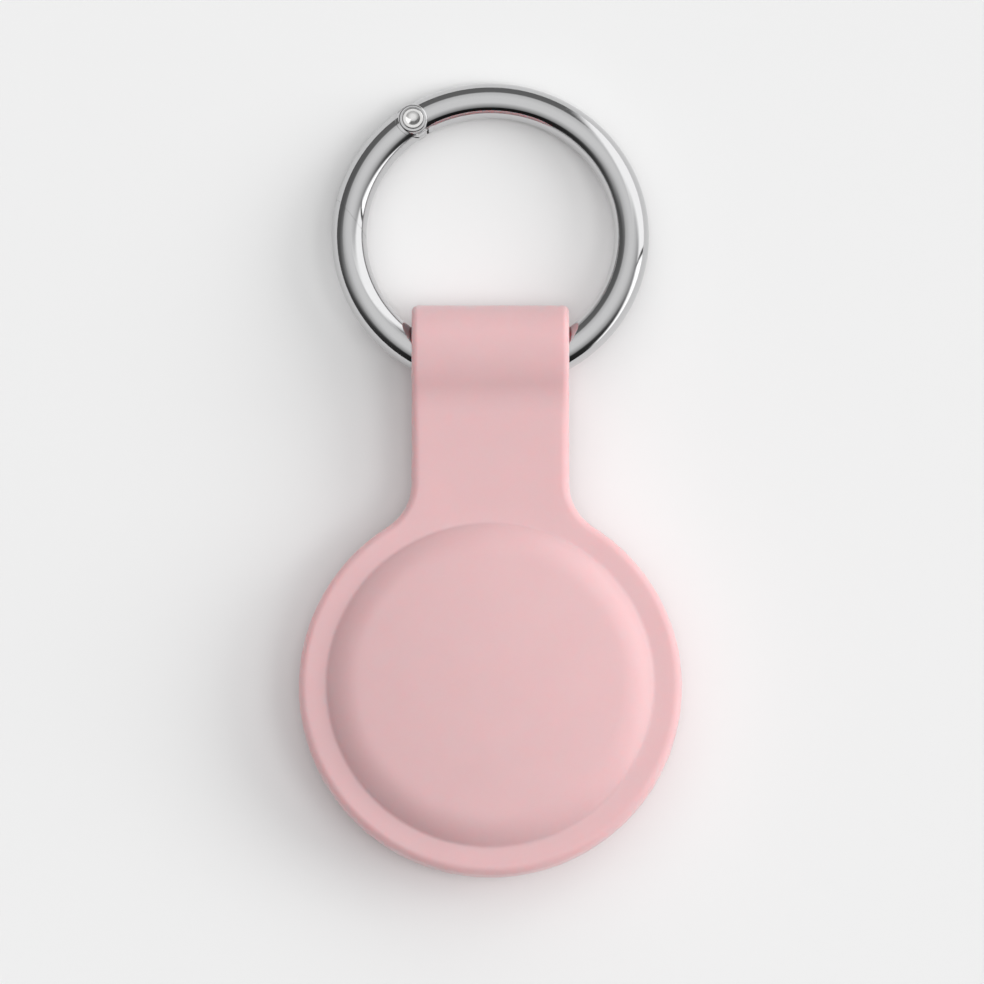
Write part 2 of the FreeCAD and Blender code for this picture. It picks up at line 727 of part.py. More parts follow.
def make_cell_gasket():
    body = new_body("cell_gasket", tag_place)
    outer = "cell_radius - cell_sheet"
    inner = "cell_radius - cell_sheet - gasket_width"
    revolve(body, box_points(inner, "cell_bottom + cell_sheet", outer, "crimp_top - cell_sheet"))
    return body


def make_cell_cap():
    body = new_body("cell_cap", tag_place)
    edge = "cell_radius - cell_sheet - gasket_width"
    revolve(body, [
        ("0", "cell_bottom + cell_sheet"),
        (edge, "cell_bottom + cell_sheet"),
        (edge, "crimp_top - cell_sheet"),
        (edge + " - cell_crimp_drop - cell_sheet", "cell_top"),
        ("0", "cell_top"),
    ])
    return body


def make_positive_contacts():
    leaves = []
    for number in range(CONTACT_COUNT):
        turn = at(turn=360 / CONTACT_COUNT * number)
        corner = at(value("-contact_width / 2"), value("tub_radius"), value("shelf + contact_play"))
        leaves.append(solid("Box", turn.multiply(corner), Length="contact_width", Width="contact_sheet",
                            Height="floor_top - shelf - contact_play"))
    group = doc.addObject("Part::Compound", "Contacts")
    group.Links = leaves
    return name_part(group, "positive_contacts", tag_place)


def make_negative_contact():
    body = new_body("negative_contact", tag_place)
    sketch = new_sketch(body, "XZ_Plane")
    end, bend, flat = "contact_span / 2", "contact_span / 2 - contact_foot", "contact_flat / 2"
    top, under = "floor_bottom", "floor_bottom - contact_sheet"
    low = "cell_top"
    draw_outline(sketch, [
        ("-(%s)" % end, top), ("-(%s)" % end, under), ("-(%s)" % bend, under), ("-(%s)" % flat, low),
        (flat, low), (bend, under), (end, under), (end, top), (bend, top),
        (flat, low + " + contact_sheet"), ("-(%s)" % flat, low + " + contact_sheet"), ("-(%s)" % bend, top),
    ])
    extrude(body, sketch, "contact_width", symmetric=True)
    return body


# The circuit board and what stands on it

def make_board():
    body = new_body("circuit_board", tag_place)
    sketch = new_sketch(body, "XY_Plane", "floor_top")
    draw_circle(sketch, "0", "0", "board_radius")
    draw_circle(sketch, "0", "0", "hole_radius")
    extrude(body, sketch, "board_thickness")
    return body


def make_antenna():
    body = new_body("antenna_ring", tag_place)
    revolve(body, box_points("board_radius - antenna_width", "board_top", "board_radius", "antenna_top"),
            angle="360 - antenna_gap")
    return body


def make_shield():
    body = new_body("radio_shield", tag_place)
    sketch = new_sketch(body, "XY_Plane", "board_top")
    draw_outline(sketch, box_points("chip_place - shield_length / 2", "-shield_width / 2",
                                    "chip_place + shield_length / 2", "shield_width / 2"))
    extrude(body, sketch, "shield_height")
    round_edges(body, "shield_round", lambda edge: edge.BoundBox.ZMax > value("board_top") + 1e-6)
    return body


def make_chips():
    chips = []
    for angle in CHIP_ANGLES:
        corner = at(value("chip_place - chip_length / 2"), value("-chip_width / 2"), value("board_top"))
        chips.append(solid("Box", at(turn=angle).multiply(corner), Length="chip_length", Width="chip_width",
                           Height="chip_height"))
    group = doc.addObject("Part::Compound", "Chips")
    group.Links = chips
    return name_part(group, "board_chips", tag_place)


def make_magnet():
    body = new_body("sounder_magnet", tag_place)
    revolve(body, [
        ("0", "floor_top"),
        ("magnet_diameter / 2", "floor_top"),
        ("magnet_diameter / 2", "floor_top + magnet_height - magnet_round"),
        ("magnet_diameter / 2 - magnet_round", "floor_top + magnet_height", "magnet_round"),
        ("0", "floor_top + magnet_height"),
    ])
    return body


def make_coil():
    body = new_body("sounder_coil", tag_place)
    revolve(body, box_points("coil_radius - coil_width", "coil_top - coil_height", "coil_radius", "coil_top"))
    return body


parts = [
    make_sleeve(),
    make_ring(), make_gate(), make_rivet(), make_spring(),
    make_front_shell(), make_rear_frame(), make_rear_cover(), make_cover_seal(),
    make_cell_can(), make_cell_gasket(), make_cell_cap(),
    make_positive_contacts(), make_negative_contact(),
    make_board(), make_chips(), make_shield(), make_antenna(),
    make_magnet(), make_coil(),
]

doc.recompute()

failed = [item.Label for item in doc.Objects if "Invalid" in item.State or "Error" in item.State]
failed += [item.Label for item in parts if item.Shape.isNull() or not item.Shape.isValid()]
if failed:
    raise SystemExit("failed: " + ", ".join(failed))

os.makedirs("parts", exist_ok=True)
for item in parts:
    item.Shape.exportStep("parts/%s.step" % item.Label)
    print("%-18s %d solids, %9.3f mm3" % (item.Label, len(item.Shape.Solids), item.Shape.Volume))
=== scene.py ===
import math

import bmesh
import bpy
from mathutils import Matrix, Vector


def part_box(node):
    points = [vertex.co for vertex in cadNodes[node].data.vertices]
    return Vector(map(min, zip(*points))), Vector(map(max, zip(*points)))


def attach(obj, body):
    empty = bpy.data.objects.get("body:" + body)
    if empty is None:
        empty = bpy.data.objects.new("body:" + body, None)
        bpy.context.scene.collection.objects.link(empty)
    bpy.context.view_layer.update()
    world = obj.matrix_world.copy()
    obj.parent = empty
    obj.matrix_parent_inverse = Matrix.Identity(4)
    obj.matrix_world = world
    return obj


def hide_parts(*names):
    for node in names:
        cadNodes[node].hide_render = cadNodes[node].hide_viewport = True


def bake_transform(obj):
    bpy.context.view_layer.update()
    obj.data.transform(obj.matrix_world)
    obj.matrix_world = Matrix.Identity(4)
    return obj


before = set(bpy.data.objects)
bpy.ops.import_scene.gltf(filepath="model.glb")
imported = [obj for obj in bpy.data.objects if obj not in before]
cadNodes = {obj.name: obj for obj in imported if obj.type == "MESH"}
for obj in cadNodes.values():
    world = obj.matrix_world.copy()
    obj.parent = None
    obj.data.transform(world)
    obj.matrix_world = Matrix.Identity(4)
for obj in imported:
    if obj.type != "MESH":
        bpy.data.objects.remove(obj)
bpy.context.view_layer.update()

mm = 0.001
print("frame loaded with", len(cadNodes), "nodes")

# camera, where the photograph was taken from
photoView = {
    "aim": (0.17, -1.75, 6.0),    # mm, what the middle of the picture shows
    "distance": 3000.0,           # mm from there
    "pitch": 9.4,                 # degrees off straight down, stepped back towards -Y
    "scale": 9.444,               # pixels per mm at the aim
    "picture": 984,               # pixels across
    "sensor": 36.0,               # mm
    "clip": (0.01, 10.0),         # m
}


def makeCamera(v):
    data = bpy.data.cameras.new("photoCamera")
    data.sensor_width = v["sensor"]
    data.lens = v["sensor"] * v["scale"] * v["distance"] / v["picture"]
    data.clip_start, data.clip_end = v["clip"]
    camera = bpy.data.objects.new("photoCamera", data)
    bpy.context.scene.collection.objects.link(camera)
    tip = math.radians(v["pitch"])
    x, y, z = v["aim"]
    far = v["distance"]
    camera.location = (x * mm, (y - far * math.sin(tip)) * mm, (z + far * math.cos(tip)) * mm)
    camera.rotation_euler = (tip, 0, 0)
    bpy.context.scene.camera = camera


makeCamera(photoView)
print("camera set")


# node helpers; feed links a socket to another, or sets its value
def feed(tree, socket, value):
    if isinstance(value, bpy.types.NodeSocket):
        tree.links.new(value, socket)
    else:
        socket.default_value = value


def put(tree, kind, inputs=None, **settings):
    node = tree.nodes.new("ShaderNode" + kind)
    for name, value in settings.items():
        setattr(node, name, value)
    for name, value in (inputs or {}).items():
        feed(tree, node.inputs[name], value)
    return node


def calc(tree, operation, *values):
    node = put(tree, "Math", operation=operation)
    for socket, value in zip(node.inputs, values):
        feed(tree, socket, value)
    return node.outputs[0]


def ramp(tree, value, low, high, toLow=0.0, toHigh=1.0):
    inputs = {"Value": value, "From Min": low, "From Max": high, "To Min": toLow, "To Max": toHigh}
    return put(tree, "MapRange", inputs, interpolation_type="SMOOTHSTEP").outputs["Result"]


def newGroup(name, inputs, outputs):
    group = bpy.data.node_groups.new(name, "ShaderNodeTree")
    kinds = {"float": "NodeSocketFloat", "colour": "NodeSocketColor"}
    for label, kind, value in inputs:
        socket = group.interface.new_socket(name=label, in_out="INPUT", socket_type=kinds[kind])
        socket.default_value = value
    for label, kind in outputs:
        group.interface.new_socket(name=label, in_out="OUTPUT", socket_type=kinds[kind])
    given = group.nodes.new("NodeGroupInput").outputs
    result = group.nodes.new("NodeGroupOutput").inputs
    return group, given, result


def place(tree, group, inputs):
    return put(tree, "Group", inputs, node_tree=group).outputs


def inMillimetres(tree):
    coords = put(tree, "TexCoord").outputs["Object"]
    return put(tree, "VectorMath", {0: coords, "Scale": 1000.0}, operation="SCALE").outputs[0]


def spread(tree, where, size):
    perSize = calc(tree, "DIVIDE", 1.0, size)
    return put(tree, "VectorMath", {0: where, "Scale": perSize}, operation="SCALE").outputs[0]


# studio: a pale ceiling that darkens towards the horizon, a tilted softbox low on the right,
# and wide lamps; angles in degrees, azimuths from +X towards +Y
studio = {
    "ceiling": 0.92, "paleFrom": 75,                          # brightness, and its elevation
    "horizon": 0.09, "horizonToBack": 0.09, "horizonLeast": 0.012,
    "edgeHeight": 40, "edgeToBack": 2.5, "edgeSoft": 3,       # the ceiling ends sharply at front and back
    "edgeStep": 0.42, "edgeStepToBack": 0.12,
    "fadeFrom": 8, "fadeOffSides": 30,                        # and fades out at the sides
    "softbox": {
        "from": -38, "fromSoft": 4, "to": 64, "toSoft": 5,
        "height": 26, "slope": 0.55, "soft": 7,               # upper edge over +X, climbing per degree
        "gapAt": 9.5, "gapFrom": 0.9, "gapTo": 2.1,
        "level": 1.42, "levelBelowGap": 1.8, "levelSoft": 0.5,
    },
    "lamps": [                                                # share of the floor's light, apparent width
        {"azimuth": 0, "elevation": 30, "share": 0.160, "width": 36},
        {"azimuth": -30, "elevation": 60, "share": 0.090, "width": 20},
        {"azimuth": -90, "elevation": 80, "share": 0.130, "width": 20},
        {"azimuth": 90, "elevation": 25, "share": 0.035, "width": 40},
    ],
}


def makeSoftbox(b):
    group, given, result = newGroup(
        "tiltedSoftbox", [("Azimuth", "float", 0), ("Elevation", "float", 0)],
        [("Mask", "float"), ("Level", "float")])
    azimuth, elevation = given["Azimuth"], given["Elevation"]
    top = calc(group, "MULTIPLY_ADD", azimuth, b["slope"], b["height"])
    away = calc(group, "ABSOLUTE", calc(group, "SUBTRACT", azimuth, b["gapAt"]))
    mask = ramp(group, calc(group, "SUBTRACT", elevation, top), -b["soft"], b["soft"], 1.0, 0.0)
    for side in (ramp(group, azimuth, b["from"] - b["fromSoft"], b["from"] + b["fromSoft"]),
                 ramp(group, azimuth, b["to"] - b["toSoft"], b["to"] + b["toSoft"], 1.0, 0.0),
                 ramp(group, away, b["gapFrom"], b["gapTo"])):
        mask = calc(group, "MULTIPLY", mask, side)
    level = ramp(group, azimuth, b["gapAt"] - b["levelSoft"], b["gapAt"] + b["levelSoft"],
                 b["levelBelowGap"], b["level"])
    feed(group, result["Mask"], mask)
    feed(group, result["Level"], level)
    return group


def makeSky(s):
    softbox = makeSoftbox(s["softbox"])
    world = bpy.data.worlds.new("studio")
    bpy.context.scene.world = world
    world.use_nodes = True
    tree = world.node_tree
    tree.nodes.clear()
    direction = put(tree, "SeparateXYZ", {"Vector": put(tree, "TexCoord").outputs["Generated"]})
    x, y, z = direction.outputs
    elevation = calc(tree, "DEGREES", calc(tree, "ARCSINE", z))
    angle = calc(tree, "ARCTAN2", y, x)
    toBack = calc(tree, "SINE", angle)
    offSides = calc(tree, "ABSOLUTE", toBack)
    horizon = calc(tree, "MULTIPLY_ADD", toBack, s["horizonToBack"], s["horizon"])
    horizon = calc(tree, "MAXIMUM", horizon, s["horizonLeast"])
    step = calc(tree, "MULTIPLY_ADD", toBack, s["edgeStepToBack"], s["edgeStep"])
    step = calc(tree, "MULTIPLY_ADD", step, offSides, horizon)
    edge = calc(tree, "MULTIPLY_ADD", toBack, s["edgeToBack"], s["edgeHeight"])
    edge = calc(tree, "SUBTRACT", elevation, edge)
    level = ramp(tree, edge, -s["edgeSoft"], s["edgeSoft"], horizon, step)
    low = calc(tree, "MULTIPLY_ADD", offSides, s["fadeOffSides"], s["fadeFrom"])
    rest = calc(tree, "SUBTRACT", s["ceiling"], step)
    level = calc(tree, "ADD", level, ramp(tree, elevation, low, s["paleFrom"], 0.0, rest))
    panel = place(tree, softbox, {"Azimuth": calc(tree, "DEGREES", angle), "Elevation": elevation})
    more = calc(tree, "SUBTRACT", panel["Level"], level)
    level = calc(tree, "MULTIPLY_ADD", more, panel["Mask"], level)
    light = put(tree, "Background", {"Color": level})
    put(tree, "OutputWorld", {"Surface": light.outputs[0]})


def makeLamps(lamps):
    for number, p in enumerate(lamps, 1):
        up = math.radians(p["elevation"])
        data = bpy.data.lights.new("wideLamp%d" % number, "SUN")
        data.angle = math.radians(p["width"])
        data.energy = p["share"] * math.pi / math.sin(up)
        lamp = bpy.data.objects.new(data.name, data)
        lamp.rotation_euler = (math.pi / 2 - up, 0, math.radians(p["azimuth"] + 90))
        lamp.visible_glossy = False    # the ring mirrors the studio alone
        bpy.context.scene.collection.objects.link(lamp)


makeSky(studio)
makeLamps(studio["lamps"])
bpy.context.scene.view_settings.view_transform = "Standard"
print("studio lit")

# effects that several finishes share; the edges are where a texture's value turns into a mark
effects = {
    "pitScale": 0.35, "pitEdge": (0.05, 0.28),                 # pits for each step of the grain
    "smudgeSize": 5.0, "smudgeEdge": (0.42, 0.72),
    "hairlines": [                                             # two crossing sets
        {"Rotation": (0.105, 0.2, 0.35), "Scale": (0.35, 9.0, 6.0)},
        {"Rotation": (0.63, 0.2, 2.1), "Scale": (8.0, 0.4, 7.0)},
    ],
    "hairlineEdge": (0.66, 0.72), "hairlineDepth": 0.004,      # mm
}


def makeColourDrift():
    group, given, result = newGroup(
        "colourDrift",
        [("Colour", "colour", (1, 1, 1, 1)), ("Amount", "float", 0.1), ("Size", "float", 4.0)],
        [("Colour", "colour")])
    where = spread(group, inMillimetres(group), given["Size"])
    cloud = put(group, "TexNoise", {"Vector": where, "Scale": 1.0, "Detail": 4.0, "Roughness": 0.55})
    change = calc(group, "SUBTRACT", cloud.outputs["Fac"], 0.5)
    shade = calc(group, "ADD", 1.0, calc(group, "MULTIPLY", change, given["Amount"]))
    tint = put(group, "HueSaturation", {"Color": given["Colour"], "Value": shade})
    feed(group, result["Colour"], tint.outputs[0])
    return group


def makeFineGrain(e):
    group, given, result = newGroup(
        "fineGrain",
        [("Size", "float", 0.1), ("Depth", "float", 0.01), ("Pits", "float", 0.0)],
        [("Height", "float")])
    where = spread(group, inMillimetres(group), given["Size"])
    grain = put(group, "TexNoise", {"Vector": where, "Scale": 1.0, "Detail": 3.0, "Roughness": 0.6})
    pits = put(group, "TexVoronoi", {"Vector": where, "Scale": e["pitScale"], "Randomness": 1.0})
    hollow = ramp(group, pits.outputs["Distance"], *e["pitEdge"], 1.0, 0.0)
    hollow = calc(group, "MULTIPLY", hollow, given["Pits"])
    raised = calc(group, "SUBTRACT", grain.outputs["Fac"], hollow)
    height = calc(group, "MULTIPLY", calc(group, "MULTIPLY", raised, given["Depth"]), mm)
    feed(group, result["Height"], height)
    return group


def makeHandlingMarks(e):
    group, given, result = newGroup(
        "handlingMarks",
        [("Roughness", "float", 0.3), ("Smudge", "float", 0.1), ("Scratch", "float", 0.1)],
        [("Roughness", "float"), ("Height", "float")])
    where = inMillimetres(group)
    smudge = put(group, "TexNoise", {"Vector": spread(group, where, e["smudgeSize"]), "Scale": 1.0,
                                     "Detail": 5.0, "Roughness": 0.6, "Distortion": 0.6})
    worn = ramp(group, smudge.outputs["Fac"], *e["smudgeEdge"])
    lines = 0.0
    for hairlines in e["hairlines"]:
        turned = put(group, "Mapping", {"Vector": where, **hairlines}).outputs[0]
        fibre = put(group, "TexNoise", {"Vector": turned, "Scale": 1.0, "Detail": 2.0, "Roughness": 0.5})
        lines = calc(group, "MAXIMUM", lines, ramp(group, fibre.outputs["Fac"], *e["hairlineEdge"]))
    lines = calc(group, "MULTIPLY", lines, given["Scratch"])
    rough = calc(group, "ADD", given["Roughness"], calc(group, "MULTIPLY", worn, given["Smudge"]))
    feed(group, result["Roughness"], calc(group, "ADD", rough, lines))
    feed(group, result["Height"], calc(group, "MULTIPLY", lines, -e["hairlineDepth"] * mm))
    return group


colourDrift = makeColourDrift()
fineGrain = makeFineGrain(effects)
handlingMarks = makeHandlingMarks(effects)


def newFinish(name, f):
    material = bpy.data.materials.new(name)
    material.use_nodes = True
    tree = material.node_tree
    tree.nodes.clear()
    shader = put(tree, "BsdfPrincipled")
    put(tree, "OutputMaterial", {"Surface": shader.outputs[0]})
    drift = {"Colour": (*f["colour"], 1), "Amount": f["drift"], "Size": f["driftSize"]}
    feed(tree, shader.inputs["Base Color"], place(tree, colourDrift, drift)["Colour"])
    for label, value in f.get("sockets", {}).items():
        shader.inputs[label].default_value = value
    return material, tree, shader.inputs


def makeFinish(name, f):
    material, tree, sockets = newFinish(name, f)
    marks = place(tree, handlingMarks, {"Roughness": f["rough"], "Smudge": f["smudge"],
                                        "Scratch": f["scratch"]})
    grain = place(tree, fineGrain, {"Size": f["grain"], "Depth": f["depth"], "Pits": f.get("pits", 0.0)})
    height = calc(tree, "ADD", grain["Height"], marks["Height"])
    bump = put(tree, "Bump", {"Height": height, "Strength": 1.0, "Distance": 1.0})
    feed(tree, sockets["Roughness"], marks["Roughness"])
    feed(tree, sockets["Normal"], bump.outputs["Normal"])
    return material


# every finish, colours in linear light, sizes in mm
bare = {"Metallic": 1.0}
finishes = {
    "silicone": {
        "colour": (0.775, 0.508, 0.523), "drift": 0.05, "driftSize": 6.0, "rough": 0.42,
        "smudge": 0.08, "scratch": 0.03, "grain": 0.09, "depth": 0.005, "pits": 0.5,
        "sockets": {"Subsurface Weight": 0.8, "Subsurface Radius": (1.0, 0.25, 0.22),
                    "Subsurface Scale": 0.0013, "Specular IOR Level": 0.8,
                    "Sheen Weight": 0.2, "Sheen Roughness": 0.35}},
    "chrome": {
        "colour": (0.60, 0.60, 0.605), "drift": 0.03, "driftSize": 3.0, "rough": 0.05,
        "smudge": 0.05, "scratch": 0.10, "grain": 0.5, "depth": 0.0004, "sockets": bare},
    "rivet_steel": {
        "colour": (0.82, 0.815, 0.81), "drift": 0.05, "driftSize": 0.8, "rough": 0.15,
        "smudge": 0.10, "scratch": 0.15, "grain": 0.12, "depth": 0.0012, "sockets": bare},
    "spring_steel": {
        "colour": (0.55, 0.53, 0.50), "drift": 0.10, "driftSize": 0.6, "rough": 0.24,
        "smudge": 0.12, "scratch": 0.20, "grain": 0.08, "depth": 0.002, "sockets": bare},
    "white_plastic": {
        "colour": (0.82, 0.82, 0.80), "drift": 0.02, "driftSize": 8.0, "rough": 0.16,
        "smudge": 0.10, "scratch": 0.12, "grain": 0.35, "depth": 0.0008,
        "sockets": {"Coat Weight": 0.25, "Coat Roughness": 0.08}},
    "cover_steel": {
        "colour": (0.80, 0.80, 0.81), "drift": 0.03, "driftSize": 5.0, "rough": 0.12,
        "smudge": 0.12, "scratch": 0.30, "grain": 0.25, "depth": 0.0008, "sockets": bare},
    "seal_rubber": {
        "colour": (0.03, 0.03, 0.032), "drift": 0.20, "driftSize": 1.5, "rough": 0.62,
        "smudge": 0.12, "scratch": 0.05, "grain": 0.06, "depth": 0.004, "pits": 0.4},
    "cell_steel": {
        "colour": (0.66, 0.66, 0.65), "drift": 0.06, "driftSize": 3.0, "rough": 0.22,
        "smudge": 0.14, "scratch": 0.25, "grain": 0.15, "depth": 0.001, "sockets": bare},
    "gasket_plastic": {
        "colour": (0.10, 0.11, 0.13), "drift": 0.12, "driftSize": 1.5, "rough": 0.45,
        "smudge": 0.10, "scratch": 0.05, "grain": 0.10, "depth": 0.002},
    "contact_metal": {
        "colour": (0.82, 0.66, 0.36), "drift": 0.08, "driftSize": 1.2, "rough": 0.20,
        "smudge": 0.12, "scratch": 0.22, "grain": 0.10, "depth": 0.001, "sockets": bare},
    "board": {
        "colour": (0.012, 0.055, 0.030), "drift": 0.25, "driftSize": 2.0, "rough": 0.34,
        "smudge": 0.10, "scratch": 0.06, "grain": 0.30, "depth": 0.006,
        "sockets": {"Coat Weight": 0.3, "Coat Roughness": 0.2}},
    "chip_plastic": {
        "colour": (0.018, 0.018, 0.020), "drift": 0.20, "driftSize": 0.8, "rough": 0.50,
        "smudge": 0.08, "scratch": 0.05, "grain": 0.06, "depth": 0.004, "pits": 0.3},
    "shield_steel": {
        "colour": (0.62, 0.62, 0.60), "drift": 0.06, "driftSize": 2.0, "rough": 0.30,
        "smudge": 0.12, "scratch": 0.25, "grain": 0.12, "depth": 0.0015, "sockets": bare},
    "antenna_copper": {
        "colour": (0.72, 0.38, 0.22), "drift": 0.15, "driftSize": 1.5, "rough": 0.28,
        "smudge": 0.12, "scratch": 0.15, "grain": 0.10, "depth": 0.0015, "sockets": bare},
    "magnet": {
        "colour": (0.50, 0.50, 0.50), "drift": 0.06, "driftSize": 1.5, "rough": 0.25,
        "smudge": 0.10, "scratch": 0.20, "grain": 0.12, "depth": 0.001, "sockets": bare},
    "coil_copper": {
        "colour": (0.66, 0.30, 0.14), "drift": 0.20, "driftSize": 0.5, "rough": 0.30,
        "smudge": 0.10, "scratch": 0.10, "grain": 0.08, "depth": 0.003, "sockets": bare},
}
finish = {name: makeFinish(name, values) for name, values in finishes.items()}
print("finishes made:", ", ".join(finish))

# floor, sizes in mm
floorLook = {"halfSize": 3000, "colour": (0.86, 0.86, 0.86), "drift": 0.004, "driftSize": 40,
             "sockets": {"Roughness": 0.9, "Specular IOR Level": 0.0}}


def makeFloor(f):
    half = f["halfSize"] * mm
    corners = [(-half, -half, 0), (half, -half, 0), (half, half, 0), (-half, half, 0)]
    mesh = bpy.data.meshes.new("floor")
    mesh.from_pydata(corners, [], [(0, 1, 2, 3)])
    mesh.materials.append(newFinish("paleFloor", f)[0])
    floor = bpy.data.objects.new("floor", mesh)
    bpy.context.scene.collection.objects.link(floor)


makeFloor(floorLook)
print("floor laid")


# mesh helpers, in mm
def onCircle(radius, angle):
    return radius * math.cos(angle), radius * math.sin(angle)


def arc(x, z, radius, start, stop, steps):
    points = []
    for i in range(steps + 1):
        across, up = onCircle(radius, math.radians(start + (stop - start) * i / steps))
        points.append((x + across, z + up))
    return points


def ease(value, low, high):
    t = min(1.0, max(0.0, (value - low) / (high - low)))
    return t * t * (3 - 2 * t)


def joinRows(mesh, rows, closed=False):
    for one, two in zip(rows, rows[1:]):
        count = len(one)
        for i in range(count if closed else count - 1):
            j = (i + 1) % count
            corners = []
            for vert in (one[i], one[j], two[j], two[i]):
                if vert not in corners:
                    corners.append(vert)
            if len(corners) > 2:
                mesh.faces.new(corners)


def addTube(mesh, rows):
    joinRows(mesh, rows, closed=True)
    mesh.faces.new(rows[0])
    mesh.faces.new(rows[-1])


def spin(mesh, profile, steps, where=Matrix(), start=0, stop=360, closed=False):
    # turns a line of (radius, height) round the Z of where; a closed line makes a solid
    whole = stop - start == 360
    count = steps if whole else steps + 1
    rings = []
    for radius, z in profile:
        if radius == 0:
            rings.append([mesh.verts.new(where @ Vector((0, 0, z)))] * count)
            continue
        row = []
        for i in range(count):
            x, y = onCircle(radius, math.radians(start + (stop - start) * i / steps))
            row.append(mesh.verts.new(where @ Vector((x, y, z))))
        rings.append(row)
    joinRows(mesh, rings + rings[:1] if closed else rings, closed=whole)
    if not whole:
        for end in (0, -1):
            mesh.faces.new([row[end] for row in rings])


def addPiece(name, mesh, slot, where, crispFrom=360):
    # where takes the mesh from mm to its place; edges bent by crispFrom degrees or more stay crisp
    bmesh.ops.recalc_face_normals(mesh, faces=mesh.faces)
    for face in mesh.faces:
        face.smooth = True
    for edge in mesh.edges:
        edge.smooth = edge.calc_face_angle(0.0) < math.radians(crispFrom)
    loose = sum(not edge.is_manifold for edge in mesh.edges)
    bmesh.ops.transform(mesh, matrix=where, verts=mesh.verts)
    data = bpy.data.meshes.new(name)
    mesh.to_mesh(data)
    mesh.free()
    data.materials.append(finish[slot])
    piece = bpy.data.objects.new(name, data)
    bpy.context.scene.collection.objects.link(piece)
    print(name, "made:", len(data.polygons), "faces,", loose, "open edges")
    return piece


# silicone sleeve, sizes in mm, heights from the floor, lengths from the disc's own middle
sleeve = {
    "faceFront": 7.6, "faceBack": 4.4,                  # the two flats of rim and strap
    "edgeRound": 0.9, "edgeFlat": 0.25, "edgeSide": 0.06, "edgeSteps": 10,
    "seamRidge": 0.03, "seamHalf": 0.1,                 # the mould's seam, half way up the outline
    "seamFadeFrom": 3.0, "seamFadeTo": 0.5,             # before the loop
    "neckRound": 5.6, "halfStrap": 8.35,
    "domeTop": 10.6, "crownRadius": 102.1645,
    "shoulderMiddle": (13.217, 4.677), "shoulderRound": 5.0252, "crease": 0.5,
    "backFoot": 17.2467, "backRadius": 17.2, "backRound": 1.6, "backCrease": 0.5,
    "leanAtFoot": 0.004, "leanAtHeel": 0.002,           # the back's side leans in a little on its way down
    "opening": 12.5, "lip": 1.3, "lipRound": 0.3,
    "pocket": 16.0, "pocketCorner": 0.2, "pocketSide": 5.155, "pocketRound": 3.4711,
    "pocketCrown": 105.2641, "pocketTop": 9.4,
    "loopLift": 0.4, "loopTop": 9.4386, "loopRound": 4.5193, "loopCrown": 9.5, "loopBlend": 6.8,
    "loopEdge": 0.7, "loopEdgeFrom": 1.0, "loopEdgeTo": 8.0,
    "tunnel": 3.4593, "noseWall": 2.2, "mouthRound": 0.12, "mouthFlat": 0.05,
    "ledge": 0.12, "innerLedge": 0.1,                   # rows of faces that hold a rounding's ends flat
    "weld": 2e-4,
    "turnSteps": 240, "tunnelSteps": 96, "rimSteps": 100, "neckSteps": 18, "strapSteps": 5,
    "loopFlatSteps": 4,
}


def domeProfile(s):
    x, z = s["shoulderMiddle"]
    height = s["faceFront"] + s["crease"]
    out = x + math.sqrt((s["shoulderRound"] + s["crease"]) ** 2 - (height - z) ** 2)
    foot = math.degrees(math.atan2(height - z, out - x))
    lean = math.degrees(math.asin(x / (s["crownRadius"] - s["shoulderRound"])))
    points = [(out + s["ledge"], s["faceFront"])]
    points += arc(out, height, s["crease"], 270, 180 + foot, steps=8)
    points += arc(x, z, s["shoulderRound"], foot, 90 - lean, steps=18)[1:]
    points += arc(0, s["domeTop"] - s["crownRadius"], s["crownRadius"], 90 - lean, 90, steps=20)[1:]
    return points[:-1] + [(0, s["domeTop"])]


def backProfile(s):
    # from the rim's back in over the open lip, then up the pocket's wall to the middle of its top
    bend, lip, edge, corner = s["backRound"], s["lip"], s["lipRound"], s["pocketCorner"]
    ledge, innerLedge, pocket = s["ledge"], s["innerLedge"], s["pocket"]
    creaseX, creaseZ = s["backFoot"] + s["backCrease"], s["faceBack"] - s["backCrease"]
    heel, mouth = s["backRadius"] - bend, s["opening"] + edge
    points = [(creaseX + ledge, s["faceBack"])]
    points += arc(creaseX, creaseZ, s["backCrease"], 90, 180, steps=7)
    points += [(s["backFoot"] - s["leanAtFoot"], creaseZ - ledge)]
    points += [(s["backRadius"] + s["leanAtHeel"], bend + ledge)]
    points += arc(heel, bend, bend, 0, -90, steps=12)
    points += [(heel - ledge, 0), (mouth + innerLedge, 0)]
    points += arc(mouth, edge, edge, -90, -180, steps=6) + arc(mouth, lip - edge, edge, 180, 90, steps=6)
    points += [(mouth + innerLedge, lip), (pocket - corner - innerLedge, lip)]
    points += arc(pocket - corner, lip + corner, corner, -90, 0, steps=4)
    points += [(pocket, lip + 2 * corner), (pocket, s["pocketSide"] - innerLedge)]
    middle = pocket - s["pocketRound"]
    lean = math.degrees(math.asin(middle / (s["pocketCrown"] - s["pocketRound"])))
    points += arc(middle, s["pocketSide"], s["pocketRound"], 0, 90 - lean, steps=12)
    points += arc(0, s["pocketTop"] - s["pocketCrown"], s["pocketCrown"], 90 - lean, 90, steps=8)[1:]
    return points[:-1] + [(0, s["pocketTop"])]


